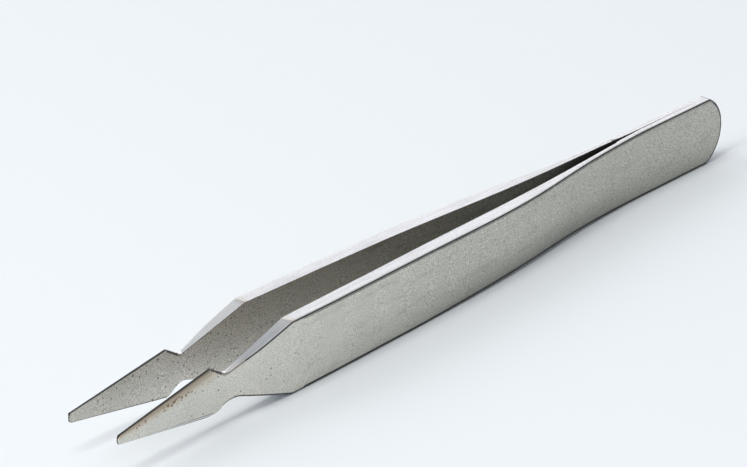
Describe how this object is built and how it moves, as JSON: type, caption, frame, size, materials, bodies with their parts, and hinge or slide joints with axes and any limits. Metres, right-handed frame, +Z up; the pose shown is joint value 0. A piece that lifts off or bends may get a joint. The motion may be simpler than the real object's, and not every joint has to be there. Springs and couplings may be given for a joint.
{
  "type": "decal tweezers",
  "caption": "Straight spring tweezers of blasted stainless steel for handling wet decals: mirrored arms joined at a rounded tail, each with a necked, thin pointed spade tip.",
  "frame": {"origin": "under the middle of the tool's length, on the middle plane between the arms, in the plane that its lower long edges rest on", "axes": "+X from the tips to the tail, +Y across the gap towards the right arm, +Z up along the width of the arms"},
  "size_m": [0.12, 0.0096, 0.0097],
  "materials": {
    "blasted_steel": "fine bead-blasted stainless steel, satin, a little darker along its edges"
  },
  "bodies": {
    "root": {"left_arm": "blasted_steel", "right_arm": "blasted_steel"}
  },
  "joints": []
}
